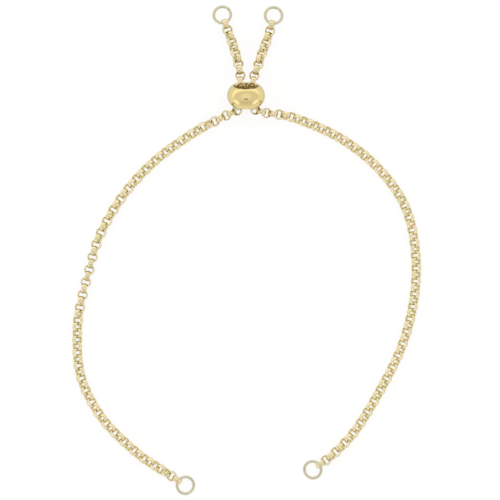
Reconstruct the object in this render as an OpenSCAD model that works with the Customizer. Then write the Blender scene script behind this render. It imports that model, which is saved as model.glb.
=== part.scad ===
// Adjustable chain bracelet: two rolo chains run side by side through a slider bead.
// Millimetres. It lies on z = 0, the slider towards +Y and the open front towards -Y.

/* [Chain] */
// Outside diameter of a round link
link_d = 2.24; // [2.22:0.01:2.26]
// Thickness of a link's band, from its hole to its outside
link_wall = 0.3; // [0.29:0.01:0.31]
// Width of a link's band, along the link's own axis
link_width = 0.98; // [0.9:0.01:1]
// Width of the band's level crown, outside and inside
crown_width = 0.24; // [0.16:0.02:0.28]
// Fall from the crown to the band's sides, outside
crown_fall = 0.11; // [0.08:0.01:0.12]
// Flare of the link's hole towards the band's sides
hole_flare = 0.17; // [0.15:0.01:0.17]
// Distance from one link's centre to the next
link_pitch = 1.37; // [1.36:0.01:1.37]

/* [Slider bead] */
// Largest diameter of the bead
bead_d = 8; // [8:0.1:8.2]
// Length of the bead along its hole
bead_len = 4.4; // [4.2:0.1:4.4]
// Diameter of the hole that both chains share
hole_d = 5.1; // [5:0.02:5.2]
// Radius of the rounded rim of the hole
rim_r = 0.22; // [0.15:0.01:0.3]
// Rise of the hole towards the tails, in degrees
bead_tilt = 18; // [17:1:19]
// Distance from the bead's axis to each chain, sideways
strand_gap = 1.215; // [1.205:0.005:1.225]
// Distance that the chains hang below the bead's axis
strand_drop = 0.35; // [0.3:0.01:0.36]

/* [Jump rings] */
// Outside diameter of a jump ring
ring_d = 4.2; // [4.1:0.1:4.4]
// Thickness of a jump ring's wire
wire_d = 0.6; // [0.58:0.01:0.62]
// Width of the cut where a jump ring was closed
cut_width = 0.1; // [0.06:0.01:0.15]
// Distance of the wire's centre beyond the end link's centre
ring_reach = 0.33; // [0.32:0.01:0.34]
// Distance of the wire's centre below the end link's centre
ring_sag = 0.12; // [0.08:0.01:0.12]

/* [Hidden] */

gold = "#e6c57c";
pale_gold = "#d9cfa4";
curve_fn = 96;

link_r = link_d / 2;
link_hole_r = link_r - link_wall;
half_width = link_width / 2;
half_crown = crown_width / 2;

// Lowest point of a link below its centre when its plane leans by this angle from level
function link_depth(lean) =
    max(
        link_r * sin(lean) + half_crown * cos(lean),
        (link_r - crown_fall) * sin(lean) + half_width * cos(lean)
    );

// Height of the chain's centre line when it lies on the surface at this roll
function lying_height(roll) =
    let (lean = abs(roll % 90))
    max(link_depth(lean), link_depth(90 - lean));

// The bead rests on the surface
hole_r = hole_d / 2;
rim_at = bead_len / 2 - rim_r;
shoulder = bead_d / 2 - hole_r - rim_r;
bead_dome_r = (pow(shoulder, 2) + pow(rim_at, 2) - pow(rim_r, 2)) / (2 * (shoulder - rim_r));
bead_dome_at = bead_d / 2 - bead_dome_r;
bead_x = -0.2;
bead_y = 32.62;
bead_z = bead_dome_at * cos(bead_tilt) + bead_dome_r;

// A point of a strand in the bead, at this distance along the hole from its middle.
// side is -1 for the left chain and 1 for the right one. The rows are as in the routes below.
function strand(side, along) = [
    bead_x + side * strand_gap,
    bead_y + along * cos(bead_tilt) + strand_drop * sin(bead_tilt),
    bead_z + along * sin(bead_tilt) - strand_drop * cos(bead_tilt) - lying_height(0),
    0
];

// Each chain's route, from its lower jump ring round the side, through the bead to its tail.
// Columns: x, y, lift above lying on the surface, roll of the even links from level
left_route = [
    [-14.8, -48.6, 0, 85],
    [-17.1, -47.1, 0, 62],
    [-19.4, -45.7, 0, 46],
    [-23.5, -42.8, 0, 42],
    [-30.6, -35.7, 0, 40],
    [-35.2, -26.7, 0, 41],
    [-35.9, -16.7, 0, 48],
    [-35.0, -10.4, 0, 80],
    [-33.4, -4.3, 0, 90],
    [-31.2, 3.0, 0, 70],
    [-26.1, 11.7, 0, 60],
    [-19.2, 19.1, 0, 50],
    [-11.0, 25.0, 0, 43],
    [-8.0, 26.6, 0, 31],
    [-5.4, 28.0, 0, 8],
    [-3.2, 29.0, 0.5, 0],
    [-2.1, 29.5, 1.1, 0],
    strand(-1, -1.2),
    strand(-1, 1.7),
    [-1.35, 35.9, 3.2, 0],
    [-1.6, 38.3, 2.65, 12],
    [-2.25, 41.0, 1.65, 34],
    [-3.0, 43.5, 0.85, 42],
    [-3.8, 45.7, 0.5, 26],
    [-4.6, 47.8, 0.3, 7]
];

right_route = [
    [15.6, -45.3, 0, 83],
    [18.0, -43.5, 0, 64],
    [22.9, -38.3, 0, 51],
    [28.2, -29.7, 0, 50],
    [32.7, -20.6, 0, 50],
    [35.3, -10.8, 0, 50],
    [35.7, -0.7, 0, 50],
    [33.5, 9.2, 0, 49],
    [27.7, 17.4, 0, 47],
    [19.7, 23.7, 0, 45],
    [10.5, 27.8, 0, 38],
    [5.4, 28.85, 0, 7],
    [3.1, 29.05, 0.6, 0],
    [1.8, 29.65, 1.3, 0],
    strand(1, -1.5),
    strand(1, 1.7),
    [1.2, 35.9, 3.2, 0],
    [2.1, 38.2, 2.65, -12],
    [2.9, 40.8, 1.65, -34],
    [3.8, 43.2, 0.85, -40],
    [4.6, 45.4, 0.5, -25],
    [5.2, 47.6, 0.3, -6]
];

// Rows of the routes at which a chain turns into the bead
left_corner = 16;
right_corner = 13;

// Steps from that turn to a tail's end. Their number is odd, so that the end link stands upright.
tail_steps = 15;

// Point of a smooth curve between b and c, at t from 0 to 1, with a and d as its neighbours
function blend(a, b, c, d, t) =
    (2 * b + (c - a) * t + (2 * a - 5 * b + 4 * c - d) * pow(t, 2)
        + (3 * b - a - 3 * c + d) * pow(t, 3)) / 2;

// The smooth curve through a route's rows, with this many steps between two rows
steps = 16;
function smooth(rows) =
    let (
        last = len(rows) - 1,
        all = concat([2 * rows[0] - rows[1]], rows, [2 * rows[last] - rows[last - 1]])
    )
    [for (i = [0:steps * last])
        let (k = min(floor(i / steps), last - 1))
        blend(all[k], all[k + 1], all[k + 2], all[k + 3], i / steps - k)];

// Distance along a curve up to each of its points, its roll left out
function distances(curve) =
    [for (i = 0, s = 0; i < len(curve); s = s + span(curve, i), i = i + 1) s];
function span(curve, i) = i + 1 < len(curve) ? norm(place(curve[i + 1]) - place(curve[i])) : 0;
function place(row) = [row.x, row.y, row.z];

// Even number of steps from the lower ring to the turn, which lies this far along the curve
function side_steps(corner) = 2 * round(corner / link_pitch / 2);

// Distance along a curve at which link i lies
function link_at(i, corner, end) =
    let (before = side_steps(corner))
    i <= before
        ? i * corner / before
        : corner + (i - before) * (end - corner) / tail_steps;

// Every link of a chain as [centre, direction, roll], from its lower ring to its tail's end.
// Even links take the turns to the side and odd ones the rises, each in its own plane.
function links(rows, corner_row) =
    let (
        curve = smooth(rows),
        s = distances(curve),
        corner = s[corner_row * steps],
        end = s[len(s) - 1],
        last = side_steps(corner) + tail_steps,
        columns = [for (c = [0:3]) [for (i = [0:len(s) - 1]) [s[i], curve[i][c]]]],
        row = [for (i = [0:last])
            [for (c = [0:3]) lookup(link_at(i, corner, end), columns[c])]],
        centre = [for (i = [0:last]) bent(row, i, last)]
    )
    [for (i = [0:last])
        [centre[i], centre[min(i + 1, last)] - centre[max(i - 1, 0)], row[i][3] + 90 * (i % 2)]];

// Centre of link i: an odd link lies midway between its neighbours seen from above,
// and an even one midway between them seen from the side
function bent(row, i, last) =
    let (
        inner = i > 0 && i < last,
        middle = inner ? (row[i - 1] + row[i + 1]) / 2 : row[i],
        flat = i % 2 == 0 ? row[i] : middle,
        lift = i % 2 == 0 ? middle.z : row[i].z
    )
    [flat.x, flat.y, max(lift, 0) + lying_height(row[i][3])];

left_links = links(left_route, left_corner);
right_links = links(right_route, right_corner);
left_end = left_links[len(left_links) - 1][0];
right_end = right_links[len(right_links) - 1][0];

// Direction of each jump ring away from its chain, and where its cut shows from above
lower_left_ring = [-34, -58];
lower_right_ring = [217, 93];
upper_left_ring = [109, 40];
upper_right_ring = [79, 35];

// A round link with a band that is crowned outside and in, its axis along Z
module link() {
    rotate_extrude($fn = curve_fn)
        polygon([
            [link_r, -half_crown],
            [link_r, half_crown],
            [link_r - crown_fall, half_width],
            [link_hole_r + hole_flare, half_width],
            [link_hole_r, half_crown],
            [link_hole_r, -half_crown],
            [link_hole_r + hole_flare, -half_width],
            [link_r - crown_fall, -half_width]
        ]);
}

// Every link of a chain in its place
module chain(list) {
    for (item = list) {
        along = item[1];
        heading = atan2(along.y, along.x);
        rise = atan2(along.z, norm([along.x, along.y]));
        translate(item[0])
            rotate([0, -rise, heading])
                rotate([item[2], 0, 0])
                    link();
    }
}

// An open ring of wire that hangs in an end link and rests on the surface at its far side
module jump_ring(end_link, angles) {
    heading = angles[0];
    cut_angle = angles[1];
    wire_r = wire_d / 2;
    ring_r = ring_d / 2 - wire_r;
    near_z = end_link.z - ring_sag;
    tilt = asin((near_z - wire_r) / (2 * ring_r));
    cut_turn = 2 * asin(cut_width / 2 / ring_r);
    reach = ring_reach + ring_r * cos(tilt);
    centre = [
        end_link.x + reach * cos(heading),
        end_link.y + reach * sin(heading),
        (near_z + wire_r) / 2
    ];
    translate(centre)
        rotate([0, tilt, heading])
            rotate([0, 0, cut_angle - heading + cut_turn / 2])
                rotate_extrude(angle = 360 - cut_turn, $fn = curve_fn)
                    translate([ring_r, 0])
                        circle(r = wire_r, $fn = curve_fn);
}

module chain_left() {
    color(gold) chain(left_links);
}

module chain_right() {
    color(gold) chain(right_links);
}

// Polished round bead with one wide hole and rounded rims
module slider_bead() {
    color(gold)
        translate([bead_x, bead_y, bead_z])
            rotate([bead_tilt - 90, 0, 0])
                rotate_extrude($fn = curve_fn)
                    bead_section();
}

// Half section of the bead, its axis along Y
module bead_section() {
    intersection() {
        translate([bead_dome_at, 0])
            circle(r = bead_dome_r, $fn = curve_fn);
        union() {
            translate([hole_r + rim_r, -bead_len / 2])
                square([bead_d, bead_len]);
            translate([hole_r, -rim_at])
                square([bead_d, 2 * rim_at]);
            for (side = [-1, 1])
                translate([hole_r + rim_r, side * rim_at])
                    circle(r = rim_r, $fn = curve_fn);
        }
    }
}

module jump_ring_lower_left() {
    color(pale_gold) jump_ring(left_links[0][0], lower_left_ring);
}

module jump_ring_lower_right() {
    color(pale_gold) jump_ring(right_links[0][0], lower_right_ring);
}

module jump_ring_upper_left() {
    color(pale_gold) jump_ring(left_end, upper_left_ring);
}

module jump_ring_upper_right() {
    color(pale_gold) jump_ring(right_end, upper_right_ring);
}

chain_left();
chain_right();
slider_bead();
jump_ring_lower_left();
jump_ring_lower_right();
jump_ring_upper_left();
jump_ring_upper_right();
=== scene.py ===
"""Adjustable chain bracelet: two polished rolo chains, a slider bead and four open jump rings."""
import math

import bpy
import numpy as np
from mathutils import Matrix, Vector


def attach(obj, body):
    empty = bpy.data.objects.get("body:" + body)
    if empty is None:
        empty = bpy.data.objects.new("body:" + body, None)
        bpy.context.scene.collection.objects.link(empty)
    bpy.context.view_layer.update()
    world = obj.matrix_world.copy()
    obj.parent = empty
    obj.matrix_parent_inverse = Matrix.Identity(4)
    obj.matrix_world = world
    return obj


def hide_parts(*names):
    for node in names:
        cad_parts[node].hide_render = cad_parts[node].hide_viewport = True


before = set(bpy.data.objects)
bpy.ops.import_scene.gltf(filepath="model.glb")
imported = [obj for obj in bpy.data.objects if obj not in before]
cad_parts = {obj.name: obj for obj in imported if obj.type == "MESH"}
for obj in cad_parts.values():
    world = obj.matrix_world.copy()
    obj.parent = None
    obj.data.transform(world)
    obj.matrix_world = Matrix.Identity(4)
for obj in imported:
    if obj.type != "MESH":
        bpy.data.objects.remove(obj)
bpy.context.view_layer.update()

MM = 0.001
WHITE = (1.0, 1.0, 1.0, 1.0)

# Camera: it looks straight down, as the photograph's does. There the bead is 8 mm and 37.8 pixels
# wide, so a pixel is PIXEL wide at the chains' height, and the picture's middle lies 3 pixels to
# the right of the bracelet's. SENSOR is in millimetres.
PIXEL = 8.0 / 37.8 * MM
PICTURE_PIXELS = 500
PICTURE_MIDDLE = (3.0 * PIXEL, 0.0)
VIEW_HEIGHT = 1.4
CHAIN_HEIGHT = 1.1 * MM
SENSOR = 36.0
CLIP_START, CLIP_END = 0.05, 10.0

# Light: a tent of white cloth. Its level by height (0 at the horizon, 1 overhead), and its brighter
# and darker parts as name, middle's direction, half angle and softness in degrees, change of level
TENT_POWER = 1.1
TENT = [(0.0, 0.94), (0.35, 0.80)]
TENT_PARTS = [
    ("back_wall", (-0.1, 0.5, -0.84), 90, 5, 0.32),
    ("front_wall", (0.0, -0.927, 0.375), 40, 4, -0.10),
    ("middle_of_roof", (0.0, 0.1, 1.0), 24, 18, 0.15),
    ("left_of_the_lens", (-0.1, -0.29, 0.95), 7, 2, -0.5),
    ("right_of_the_lens", (0.1, -0.29, 0.95), 7, 2, -0.5),
]

# Softboxes as name, place, size in metres and power in watts
SOFTBOXES = [
    ("left_softbox", (-0.99, -0.78, 0.25), (0.8, 0.5), 0.58),
    ("right_softbox", (0.99, -0.78, 0.25), (0.8, 0.5), 0.58),
]

# Floor: a white table, whose white comes mostly from its glow, so that it takes no hard shadow
FLOOR_HALF = 3.0
FLOOR_COLOUR = (0.2, 0.2, 0.2, 1.0)
FLOOR_ROUGHNESS = 0.9
FLOOR_GLOW = 0.83

# A link's band: the solids' with a domed crown outside and in, and rounded edges. It is 0.10 mm
# thicker inside and 0.02 mm wider at each side, because the solids keep more room between them.
LINK_R = 1.12 * MM
LINK_HOLE_R = 0.72 * MM
LINK_HALF_WIDTH = 0.51 * MM
LINK_DOME_R = 1.1 * MM
LINK_COMFORT_R = 0.75 * MM
LINK_EDGE_R = 0.05 * MM
LINK_STEPS = 40
LINK_DOME_STEPS = 6
LINK_COMFORT_STEPS = 4
LINK_EDGE_STEPS = 3

# The bead's section
BEAD_R = 4.0 * MM
BEAD_HALF_LENGTH = 2.2 * MM
BEAD_HOLE_R = 2.55 * MM
BEAD_RIM_R = 0.22 * MM
BEAD_STEPS = 160
BEAD_DOME_STEPS = 40
BEAD_RIM_STEPS = 10
BEAD_BORE_STEPS = 8
# A face whose corners all lie within this many hole radii belongs to the bore
BORE_REACH = 1.001

# The jump rings' wire, and where each ring's cut shows from above, in degrees
WIRE_R = 0.3 * MM
RING_R = 1.8 * MM
CUT_WIDTH = 0.1 * MM
CUT_EDGE = 0.03 * MM
RING_STEPS = 120
WIRE_STEPS = 20
RING_CUTS = {
    "jump_ring_lower_left": -58,
    "jump_ring_lower_right": 93,
    "jump_ring_upper_left": 40,
    "jump_ring_upper_right": 35,
}

# Golds: low and high are the tones between which links and soft clouds vary, and the third tone is the
# one that rounded edges lean to, a painted shade that stands in for the grey outline the light draws
# along the metal's edges; spread is how far the haze changes the roughness, and marks is how strong the
# fine marks are
GOLDS = {
    "link_gold": dict(
        low=(0.73, 0.67, 0.35), high=(0.87, 0.71, 0.48), edge_shade=(0.85, 0.76, 0.54),
        roughness=0.09, spread=0.03, marks=0.3, metallic=1.0,
    ),
    "bead_gold": dict(
        low=(0.79, 0.63, 0.29), high=(0.82, 0.66, 0.33), edge_shade=(0.84, 0.70, 0.40),
        roughness=0.05, spread=0.015, marks=0.08, metallic=1.0,
    ),
    "bore_gold": dict(
        low=(0.78, 0.60, 0.30), high=(0.85, 0.67, 0.37), edge_shade=(0.85, 0.67, 0.37),
        roughness=0.45, spread=0.05, marks=0.3, metallic=0.5,
    ),
    "ring_gold": dict(
        low=(0.63, 0.58, 0.40), high=(0.73, 0.66, 0.48), edge_shade=(0.58, 0.50, 0.33),
        roughness=0.14, spread=0.04, marks=0.3, metallic=1.0,
    ),
}

# What is left of red, green and blue where the metal is seen at a flat angle
GRAZING_TINT = (0.68, 0.75, 0.78, 1.0)

# Shares of a link's own tone and of the clouds in its colour, and how far the painted edge shade changes
# the rounded edges
LINK_TONE_SHARE = 0.6
CLOUD_SHARE = 0.4
EDGE_SHADE_SHARE = 0.5

# Scale and detail of the noises. The haze uses the middle of its noise, and the marks are drawn
# out along Y and lie MARK_DEPTH deep.
CLOUDS = (700.0, 2.0)
HAZE = (2500.0, 4.0)
HAZE_LOW, HAZE_HIGH = 0.3, 0.7
MARKS = (9000.0, 3.0)
MARK_STRETCH = (1.0, 0.25, 1.0)
MARK_DEPTH = 0.004 * MM

# Decimals of a metre to which two corners of a CAD mesh are the same, and the least length of a
# direction that can be used
WELD_DECIMALS = 8
TINY = 1e-6


def make_camera():
    """The photograph's camera, straight above the bracelet"""
    data = bpy.data.cameras.new("camera")
    camera = bpy.data.objects.new("camera", data)
    bpy.context.scene.collection.objects.link(camera)
    data.sensor_width = SENSOR
    data.lens = SENSOR * VIEW_HEIGHT / (PICTURE_PIXELS * PIXEL)
    data.clip_start, data.clip_end = CLIP_START, CLIP_END
    camera.location = (*PICTURE_MIDDLE, CHAIN_HEIGHT + VIEW_HEIGHT)
    bpy.context.scene.camera = camera


def loose_solids(node):
    """Middle and axis of each loose solid of a CAD node. They are all rings of some kind."""
    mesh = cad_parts[node].data
    co = np.empty(len(mesh.vertices) * 3)
    mesh.vertices.foreach_get("co", co)
    co = co.reshape(-1, 3)
    mesh.calc_loop_triangles()
    tri = np.empty(len(mesh.loop_triangles) * 3, np.int64)
    mesh.loop_triangles.foreach_get("vertices", tri)
    spots, where = np.unique(np.round(co, WELD_DECIMALS), axis=0, return_inverse=True)
    tri = where.reshape(-1)[tri].reshape(-1, 3)

    # Each point takes the lowest label among its neighbours, until every solid has one label
    label = np.arange(len(spots))
    while True:
        low = label[tri].min(axis=1)
        fresh = label.copy()
        for k in range(3):
            np.minimum.at(fresh, tri[:, k], low)
        fresh = fresh[fresh]
        if (fresh == label).all():
            break
        label = fresh

    corner = spots[tri]
    sides = corner[:, 1:] - corner[:, :1]
    area = np.linalg.norm(np.cross(sides[:, 0], sides[:, 1]), axis=1)
    centre = corner.mean(axis=1)
    owner = label[tri[:, 0]]
    found = []
    for one in np.unique(owner):
        weight, middles = area[owner == one], centre[owner == one]
        middle = weight @ middles / weight.sum()
        away = middles - middle
        # A ring spreads least along its axis
        axis = np.linalg.eigh((away * weight[:, None]).T @ away)[1][:, 0]
        found.append((middle, axis if axis[2] > 0 else -axis))
    return found


def turn_to(axis):
    """Rotation whose Z is this axis and whose X is level"""
    side = np.cross([0.0, 0.0, 1.0], axis)
    if np.linalg.norm(side) < TINY:
        side = np.array([1.0, 0.0, 0.0])
    x = side / np.linalg.norm(side)
    return np.column_stack([x, np.cross(axis, x), axis])


def arc(centre, radius, start, end, steps):
    """Rows of an arc in a section's plane, its angles in degrees"""
    angles = np.radians(np.linspace(start, end, steps + 1))
    return np.column_stack([centre[0] + radius * np.cos(angles), centre[1] + radius * np.sin(angles)])


def joined(parts):
    """One section from parts of (rows, mark): all its rows, and the mark of each row"""
    rows = np.concatenate([rows for rows, _ in parts])
    marks = np.concatenate([[mark] * len(rows) for rows, mark in parts])
    return rows, marks


def band_section():
    """Closed section of a link's band: rows of radius and height, marked 1 on its rounded edges"""
    e, h = LINK_EDGE_R, LINK_HALF_WIDTH - LINK_EDGE_R
    out_c, in_c = LINK_R - LINK_DOME_R, LINK_HOLE_R + LINK_COMFORT_R
    out_a = math.degrees(math.asin(h / (LINK_DOME_R - e)))
    in_a = math.degrees(math.asin(h / (LINK_COMFORT_R - e)))
    out_x = out_c + (LINK_DOME_R - e) * math.cos(math.radians(out_a))
    in_x = in_c - (LINK_COMFORT_R - e) * math.cos(math.radians(in_a))
    return joined([
        (arc((out_c, 0), LINK_DOME_R, -out_a, out_a, LINK_DOME_STEPS), 0),
        (arc((out_x, h), e, out_a, 90, LINK_EDGE_STEPS)[1:], 1),
        (arc((in_x, h), e, 90, 180 - in_a, LINK_EDGE_STEPS), 1),
        (arc((in_c, 0), LINK_COMFORT_R, 180 - in_a, 180 + in_a, LINK_COMFORT_STEPS)[1:], 0),
        (arc((in_x, -h), e, 180 + in_a, 270, LINK_EDGE_STEPS)[1:], 1),
        (arc((out_x, -h), e, 270, 360 - out_a, LINK_EDGE_STEPS)[:-1], 1),
    ])


def bead_section():
    """Closed section of the bead's wall: rows of radius and height, marked 1 on its rims"""
    rim_at = BEAD_HALF_LENGTH - BEAD_RIM_R
    shoulder = BEAD_R - BEAD_HOLE_R - BEAD_RIM_R
    dome_r = (shoulder ** 2 + rim_at ** 2 - BEAD_RIM_R ** 2) / (2 * (shoulder - BEAD_RIM_R))
    dome_at = BEAD_R - dome_r
    rim_x = BEAD_HOLE_R + BEAD_RIM_R
    meet = math.degrees(math.atan2(rim_at, rim_x - dome_at))
    bore = np.linspace(rim_at, -rim_at, BEAD_BORE_STEPS + 1)[1:-1]
    return joined([
        (arc((dome_at, 0), dome_r, -meet, meet, BEAD_DOME_STEPS), 0),
        (arc((rim_x, rim_at), BEAD_RIM_R, meet, 180, BEAD_RIM_STEPS)[1:], 1),
        (np.column_stack([np.full(len(bore), BEAD_HOLE_R), bore]), 0),
        (arc((rim_x, -rim_at), BEAD_RIM_R, 180, 360 - meet, BEAD_RIM_STEPS)[:-1], 1),
    ])


def turned(section, steps):
    """Points and faces of a closed section turned once round Z"""
    count = len(section)
    angles = np.linspace(0, 2 * math.pi, steps, endpoint=False)
    points = np.concatenate([
        np.column_stack([section[:, 0] * math.cos(a), section[:, 0] * math.sin(a), section[:, 1]])
        for a in angles
    ])
    i, k = np.meshgrid(np.arange(steps), np.arange(count), indexing="ij")
    j, m = (i + 1) % steps, (k + 1) % count
    faces = np.stack([i * count + k, j * count + k, j * count + m, i * count + m], axis=-1)
    return points, faces.reshape(-1, 4)


def add_piece(name, node, slot, material, points, faces, **values):
    """A smooth mesh that stands for a CAD node. values are numbers per point that its material reads."""
    mesh = bpy.data.meshes.new(name)
    mesh.from_pydata(points.tolist(), [], [list(f) for f in faces])
    for key, numbers in values.items():
        attribute = mesh.attributes.new(key, "FLOAT", "POINT")
        attribute.data.foreach_set("value", np.asarray(numbers, np.float32))
    mesh.shade_smooth()
    mesh.materials.append(material)
    piece = bpy.data.objects.new(name, mesh)
    bpy.context.scene.collection.objects.link(piece)
    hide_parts(node)
    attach(piece, "root")
    return piece


def make_chain(name, node, material, seed):
    """One mesh with every link of a chain, each on its solid's place and with a tone of its own"""
    rng = np.random.default_rng(seed)
    section, edge = band_section()
    points, faces = turned(section, LINK_STEPS)
    links = loose_solids(node)
    tones = rng.uniform(0, 1, len(links))
    add_piece(
        name, node, "gold", material,
        np.concatenate([points @ turn_to(axis).T + middle for middle, axis in links]),
        np.concatenate([faces + i * len(points) for i in range(len(links))]),
        edge=np.tile(edge, LINK_STEPS * len(links)), tone=np.repeat(tones, len(points)),
    )


def make_bead(material, bore_material):
    """The bead, polished outside, with a bore that was never polished"""
    section, edge = bead_section()
    points, faces = turned(section, BEAD_STEPS)
    middle, axis = loose_solids("slider_bead")[0]
    bead = add_piece(
        "polished_bead", "slider_bead", "bead_gold", material,
        points @ turn_to(axis).T + middle, faces, edge=np.tile(edge, BEAD_STEPS),
    )
    bead.data.materials.append(bore_material)
    radii = np.hypot(points[:, 0], points[:, 1])
    in_bore = radii[faces].max(axis=1) < BEAD_HOLE_R * BORE_REACH
    bead.data.polygons.foreach_set("material_index", in_bore.astype(np.int32))


def make_ring(node, cut_angle, material):
    """A ring of wire with a sawn cut, whose faces have softened edges"""
    middle, axis = loose_solids(node)[0]
    half_cut = CUT_WIDTH / 2 / RING_R
    ease = CUT_EDGE / RING_R
    cut = math.radians(cut_angle)
    flat = np.array([math.cos(cut), math.sin(cut), 0.0])
    to_cut = flat - axis * (flat @ axis)
    to_cut /= np.linalg.norm(to_cut)
    # The cut moves the solid's middle away from itself, and the ring's own centre lies nearer to it
    centre = middle + to_cut * RING_R * math.sin(half_cut) / (math.pi - half_cut)
    across = np.cross(axis, to_cut)
    around = np.linspace(half_cut + ease, 2 * math.pi - half_cut - ease, RING_STEPS)
    around = np.concatenate([[half_cut], around, [2 * math.pi - half_cut]])
    radii = np.full(len(around), WIRE_R)
    radii[[0, -1]] = WIRE_R - CUT_EDGE
    turn = np.linspace(0, 2 * math.pi, WIRE_STEPS, endpoint=False)
    points = []
    for a, r in zip(around, radii):
        out = to_cut * math.cos(a) + across * math.sin(a)
        points.append(
            centre + np.outer(RING_R + r * np.cos(turn), out) + np.outer(r * np.sin(turn), axis)
        )
    faces = []
    for i in range(len(around) - 1):
        here, there = i * WIRE_STEPS, (i + 1) * WIRE_STEPS
        for k in range(WIRE_STEPS):
            m = (k + 1) % WIRE_STEPS
            faces.append([here + k, there + k, there + m, here + m])
    last = (len(around) - 1) * WIRE_STEPS
    faces.append(list(range(WIRE_STEPS)))
    faces.append([last + k for k in reversed(range(WIRE_STEPS))])
    sawn = np.zeros((len(around), WIRE_STEPS))
    sawn[[0, -1]] = 1
    add_piece(
        node + "_wire", node, "ring_gold", material,
        np.concatenate(points), faces, edge=sawn.reshape(-1),
    )


def gold_material(name, low, high, edge_shade, roughness, spread, marks, metallic):
    """Metal with the values of one row of GOLDS"""
    material = bpy.data.materials.new(name)
    material.use_nodes = True
    tree = material.node_tree
    tree.nodes.clear()

    def node(kind, **settings):
        made = tree.nodes.new(kind)
        for key, value in settings.items():
            setattr(made, key, value)
        return made

    def join(a, out, b, into):
        tree.links.new(a.outputs[out], b.inputs[into])

    def noise(scale_and_detail, source, out):
        made = node("ShaderNodeTexNoise")
        made.inputs["Scale"].default_value, made.inputs["Detail"].default_value = scale_and_detail
        join(source, out, made, "Vector")
        return made

    def share(source, factor):
        made = node("ShaderNodeMath", operation="MULTIPLY")
        made.inputs[1].default_value = factor
        join(source, "Fac", made, 0)
        return made

    output = node("ShaderNodeOutputMaterial")
    shader = node("ShaderNodeBsdfPrincipled")
    shader.inputs["Metallic"].default_value = metallic
    shader.inputs["Specular Tint"].default_value = GRAZING_TINT
    join(shader, "BSDF", output, "Surface")
    place = node("ShaderNodeTexCoord")
    tone = node("ShaderNodeAttribute", attribute_name="tone")
    edge = node("ShaderNodeAttribute", attribute_name="edge")

    # Colour: each link's tone with soft clouds over it, and a painted shade on the rounded edges
    clouds = share(noise(CLOUDS, place, "Object"), CLOUD_SHARE)
    mixed = node("ShaderNodeMath", operation="MULTIPLY_ADD")
    mixed.inputs[1].default_value = LINK_TONE_SHARE
    join(tone, "Fac", mixed, 0)
    join(clouds, 0, mixed, 2)
    tones = node("ShaderNodeMix", data_type="RGBA")
    tones.inputs["A"].default_value = (*low, 1.0)
    tones.inputs["B"].default_value = (*high, 1.0)
    join(mixed, 0, tones, "Factor")
    # Painted shade: the rounded edges lean to a greyer tone that stands in for the outline the light
    # draws along them
    colour = node("ShaderNodeMix", data_type="RGBA")
    colour.inputs["B"].default_value = (*edge_shade, 1.0)
    join(tones, "Result", colour, "A")
    join(share(edge, EDGE_SHADE_SHARE), 0, colour, "Factor")
    join(colour, "Result", shader, "Base Color")

    # Roughness: a soft haze
    rough = node("ShaderNodeMapRange")
    rough.inputs["From Min"].default_value = HAZE_LOW
    rough.inputs["From Max"].default_value = HAZE_HIGH
    rough.inputs["To Min"].default_value = roughness - spread
    rough.inputs["To Max"].default_value = roughness + spread
    join(noise(HAZE, place, "Object"), "Fac", rough, "Value")
    join(rough, "Result", shader, "Roughness")

    # Relief: fine marks of wear
    stretch = node("ShaderNodeMapping")
    stretch.inputs["Scale"].default_value = MARK_STRETCH
    join(place, "Object", stretch, "Vector")
    bump = node("ShaderNodeBump")
    bump.inputs["Strength"].default_value = marks
    bump.inputs["Distance"].default_value = MARK_DEPTH
    join(noise(MARKS, stretch, "Vector"), "Fac", bump, "Height")
    join(bump, "Normal", shader, "Normal")
    return material


def make_floor():
    """A white table that is lit from below as well, so it stays white right up to the metal"""
    far = FLOOR_HALF
    mesh = bpy.data.meshes.new("floor")
    mesh.from_pydata([(-far, -far, 0), (far, -far, 0), (far, far, 0), (-far, far, 0)], [], [(0, 1, 2, 3)])
    floor = bpy.data.objects.new("floor", mesh)
    bpy.context.scene.collection.objects.link(floor)
    material = bpy.data.materials.new("white_floor")
    material.use_nodes = True
    shader = material.node_tree.nodes["Principled BSDF"]
    shader.inputs["Base Color"].default_value = FLOOR_COLOUR
    shader.inputs["Roughness"].default_value = FLOOR_ROUGHNESS
    shader.inputs["Specular IOR Level"].default_value = 0.0
    shader.inputs["Emission Color"].default_value = WHITE
    shader.inputs["Emission Strength"].default_value = FLOOR_GLOW
    mesh.materials.append(material)


def add_softbox(name, at, size, power):
    """A rectangular light that looks at the middle of the bracelet"""
    data = bpy.data.lights.new(name, "AREA")
    data.shape = "RECTANGLE"
    data.size, data.size_y = size
    data.energy = power
    light = bpy.data.objects.new(name, data)
    light.location = at
    light.rotation_mode = "QUATERNION"
    light.rotation_quaternion = (-Vector(at)).to_track_quat("-Z", "Y")
    bpy.context.scene.collection.objects.link(light)


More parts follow.
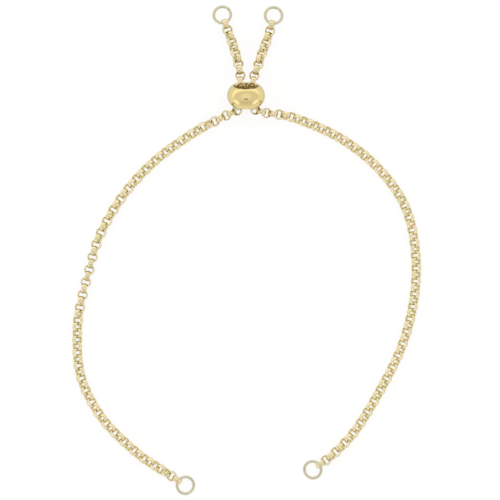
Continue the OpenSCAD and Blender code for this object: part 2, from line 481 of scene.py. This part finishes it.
def make_light():
    """The tent as the world's light, and the softboxes"""
    world = bpy.data.worlds.new("studio")
    world.use_nodes = True
    bpy.context.scene.world = world
    tree = world.node_tree
    background = tree.nodes["Background"]
    sky = tree.nodes.new("ShaderNodeTexCoord")
    split = tree.nodes.new("ShaderNodeSeparateXYZ")
    ramp = tree.nodes.new("ShaderNodeValToRGB")
    tree.links.new(sky.outputs["Generated"], split.inputs["Vector"])
    tree.links.new(split.outputs["Z"], ramp.inputs["Fac"])
    for stop, (height, level) in zip(ramp.color_ramp.elements, TENT):
        stop.position = height
        stop.color = (level, level, level, 1.0)
    total = ramp.outputs["Color"]
    for name, towards, half_angle, softness, change in TENT_PARTS:
        near = tree.nodes.new("ShaderNodeVectorMath")
        near.operation = "DOT_PRODUCT"
        near.inputs[1].default_value = Vector(towards).normalized()
        tree.links.new(sky.outputs["Generated"], near.inputs[0])
        part = tree.nodes.new("ShaderNodeMapRange")
        part.name = name
        part.interpolation_type = "SMOOTHSTEP"
        part.inputs["From Min"].default_value = math.cos(math.radians(half_angle + softness))
        part.inputs["From Max"].default_value = math.cos(math.radians(half_angle - softness))
        part.inputs["To Max"].default_value = change
        tree.links.new(near.outputs["Value"], part.inputs["Value"])
        added = tree.nodes.new("ShaderNodeMath")
        tree.links.new(total, added.inputs[0])
        tree.links.new(part.outputs["Result"], added.inputs[1])
        total = added.outputs["Value"]
    power = tree.nodes.new("ShaderNodeMath")
    power.operation = "MULTIPLY"
    power.inputs[1].default_value = TENT_POWER
    tree.links.new(total, power.inputs[0])
    tree.links.new(power.outputs["Value"], background.inputs["Strength"])
    background.inputs["Color"].default_value = WHITE
    for row in SOFTBOXES:
        add_softbox(*row)


make_camera()
make_light()
make_floor()
bpy.context.scene.view_settings.view_transform = "Standard"

golds = {name: gold_material(name, **values) for name, values in GOLDS.items()}

make_chain("left_links", "chain_left", golds["link_gold"], seed=3)
make_chain("right_links", "chain_right", golds["link_gold"], seed=4)
make_bead(golds["bead_gold"], golds["bore_gold"])
for node, cut_angle in RING_CUTS.items():
    make_ring(node, cut_angle, golds["ring_gold"])
